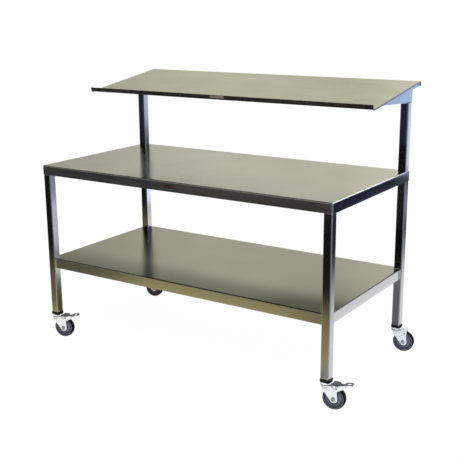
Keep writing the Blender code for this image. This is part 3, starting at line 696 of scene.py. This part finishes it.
def far_floor(tree, x, y, cool, coming):
    """Colour of the floor far from the object: nearly black, with a dim glow in front of it, and pale
    blue light from windows behind it on the cool side. Coming points back along the ray."""
    distant = smooth_step(tree, y, -3.8, -4.6)
    distant = blend_colour(tree, distant, (0.010, 0.008, 0.006), (0.016, 0.017, 0.045))
    dark = blend_colour(tree, cool, distant, (0.014, 0.016, 0.032))
    glow = product(tree, smooth_step(tree, y, -3.2, -3.5), smooth_step(tree, x, -3.1, -2.5),
                   smooth_step(tree, x, -0.75, -0.95), smooth_step(tree, y, -4.3, -3.9))
    dark = blend_colour(tree, glow, dark, (0.065, 0.056, 0.042))
    pane = product(tree, smooth_step(tree, y, 2.2, 3.2), smooth_step(tree, x, 2.0, 2.2, 0.45, 0.0))
    blaze = product(tree, smooth_step(tree, x, 1.30, 1.50, 2.0, 0.0), smooth_step(tree, y, 1.9, 2.3),
                    smooth_step(tree, y, 3.3, 3.7, 1.0, 0.0))
    sheen = product(tree, smooth_step(tree, coming[0], -0.60, -0.70),
                    smooth_step(tree, coming[1], -0.40, -0.55, 0.0, 0.5))
    beyond = product(tree, smooth_step(tree, coming[0], -0.42, -0.38),
                     smooth_step(tree, y, 4.1, 5.0, 0.0, 1.5))
    windows = product(tree, largest(tree, smooth_step(tree, y, 4.2, 7.2), beyond, pane, sheen, blaze), cool)
    light = node(tree, "VectorMath", {0: WINDOW_BLUE, "Scale": windows}, operation="SCALE").outputs[0]
    return blend_colour(tree, 1.0, dark, light, "ADD")


def mirrored_floor(tree, x, y):
    """Colour of the floor's glow as the steel mirrors it: painted light, with a painted shadow under the table."""
    coming = node(tree, "SeparateXYZ", {0: node(tree, "NewGeometry").outputs["Incoming"]}).outputs
    inner = product(tree, smooth_step(tree, x, -0.25, -0.05), smooth_step(tree, y, -0.85, -0.70),
                    smooth_step(tree, y, 0.15, 0.30, 1.0, 0.0), smooth_step(tree, x, 0.52, 0.62, 1.0, 0.0))
    aside = calc(tree, "MULTIPLY_ADD", x, 0.8, product(tree, y, 0.6))
    cool = largest(tree, smooth_step(tree, aside, -0.3, 0.5), inner)
    off_x = calc(tree, "ABSOLUTE", calc(tree, "SUBTRACT", x, MIDDLE.x))
    off_y = calc(tree, "ABSOLUTE", calc(tree, "SUBTRACT", y, MIDDLE.y))
    # Painted shadow under the table, in the floor's glow
    under = product(tree, smooth_step(tree, off_x, 0.60, 0.90, 1.0, 0.0),
                    smooth_step(tree, off_y, 0.25, 0.50, 1.0, 0.0))
    near = lit_floor(tree, x, y, cool, inner, under)
    colour = blend_colour(tree, near, far_floor(tree, x, y, cool, coming),
                          blend_colour(tree, cool, FLOOR_GLOW_WARM, FLOOR_GLOW_COOL))
    # Rays that run along X or along Y come from other viewpoints, and see a plain floor
    along_x = smooth_step(tree, calc(tree, "ABSOLUTE", coming[1]), 0.45, 0.58, 1.0, 0.0)
    along_y = smooth_step(tree, calc(tree, "ABSOLUTE", coming[0]), 0.18, 0.28, 1.0, 0.0)
    plain = product(tree, largest(tree, along_x, along_y), calc(tree, "MULTIPLY_ADD", under, -0.7, 1.0))
    return blend_colour(tree, plain, colour, FLOOR_GLOW_PLAIN)


def build_floor():
    """A plain pale floor, nearly white to the camera. To other rays it glows in stretches of painted light, with a
    painted shadow under the table, and the steel mirrors it.
    """
    bm = bmesh.new()
    bmesh.ops.create_grid(bm, x_segments=1, y_segments=1, size=FLOOR_HALF)
    mesh = bpy.data.meshes.new("floor")
    bm.to_mesh(mesh)
    bm.free()
    floor = bpy.data.objects.new("floor", mesh)
    bpy.context.scene.collection.objects.link(floor)
    mat, tree, shader, place = new_material("pale_floor")
    tree.nodes.remove(shader)
    across = node(tree, "SeparateXYZ", {0: place}).outputs
    mirrored_glow = node(tree, "Emission", {"Color": mirrored_floor(tree, across[0], across[1])})
    paper = node(tree, "BsdfDiffuse", {"Color": (0.035, 0.035, 0.035, 1)})
    glow = node(tree, "Emission", {"Color": (1, 1, 1, 1), "Strength": 0.975})
    pale = node(tree, "AddShader", {0: paper.outputs[0], 1: glow.outputs[0]})
    camera = node(tree, "LightPath").outputs["Is Camera Ray"]
    mixed = node(tree, "MixShader", {0: camera, 1: mirrored_glow.outputs[0], 2: pale.outputs[0]})
    tree.links.new(mixed.outputs[0], tree.nodes["Material Output"].inputs[0])
    mesh.materials.append(mat)


def build_light(name, place, target, size, power, colour):
    """A soft round light that the steel doesn't mirror."""
    data = bpy.data.lights.new(name, "AREA")
    data.shape = "DISK"
    data.size = size
    data.energy = power
    data.color = colour
    light = bpy.data.objects.new(name, data)
    bpy.context.scene.collection.objects.link(light)
    light.location = place
    light.visible_glossy = False
    light.rotation_euler = (Vector(place) - Vector(target)).to_track_quat("Z", "Y").to_euler()


def build_camera():
    """A camera in front of the table and to its right, looking down a little."""
    data = bpy.data.cameras.new("camera")
    data.sensor_width = 36
    data.lens = 68.26
    camera = bpy.data.objects.new("camera", data)
    bpy.context.scene.collection.objects.link(camera)
    yaw, pitch, roll = math.radians(33.353), math.radians(14.75), math.radians(-0.40)
    level = Matrix.Rotation(yaw, 4, "Z") @ Matrix.Rotation(math.pi / 2 - pitch, 4, "X")
    place = Vector((MIDDLE.x + 2.206, MIDDLE.y - 3.2855, 1.6026))
    camera.matrix_world = Matrix.Translation(place) @ (level @ Matrix.Rotation(roll, 4, "Z"))
    bpy.context.scene.camera = camera


build_world()
build_floor()
build_light("key", place=(1.0, -2.5, 4.5), target=(0, 0, 0.4), size=3.0, power=270, colour=(0.96, 0.98, 1.0))
build_camera()
bpy.context.scene.view_settings.view_transform = "Standard"
